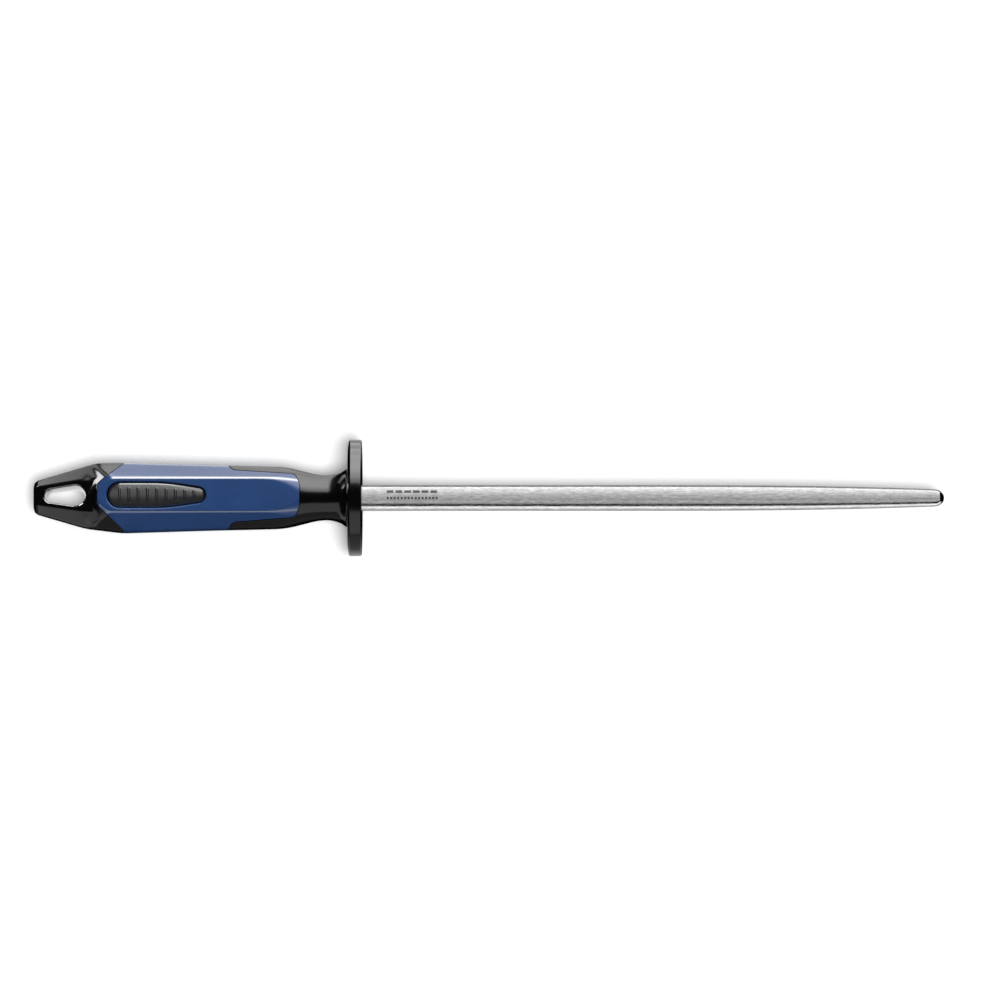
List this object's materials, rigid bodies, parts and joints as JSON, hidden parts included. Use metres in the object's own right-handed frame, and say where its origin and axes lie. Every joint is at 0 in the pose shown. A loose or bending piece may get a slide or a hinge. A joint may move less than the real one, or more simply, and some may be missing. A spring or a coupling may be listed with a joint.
{
  "type": "knife sharpening steel",
  "caption": "Round sharpening steel with a domed tip, a disc hand guard and a two-colour bevelled handle with a hanging hole.",
  "frame": {"origin": "on the steel's axis, at the guard's front face, where the exposed rod begins", "axes": "+X along the rod to the tip, +Z out of the handle face that carries the badge, Y across the handle"},
  "size_m": [0.3911, 0.05, 0.05],
  "materials": {
    "chromed_steel": "hard chrome over a fine lengthwise cut, polished nose",
    "black_plastic": "satin moulded",
    "blue_grip": "satin moulded, fine grain",
    "badge_plastic": "semi-gloss moulded"
  },
  "bodies": {
    "root": {"steel_rod": "chromed_steel", "hand_guard": "black_plastic", "handle_core": "black_plastic", "grip_shell": "blue_grip", "badge_insert": "badge_plastic"}
  },
  "joints": []
}
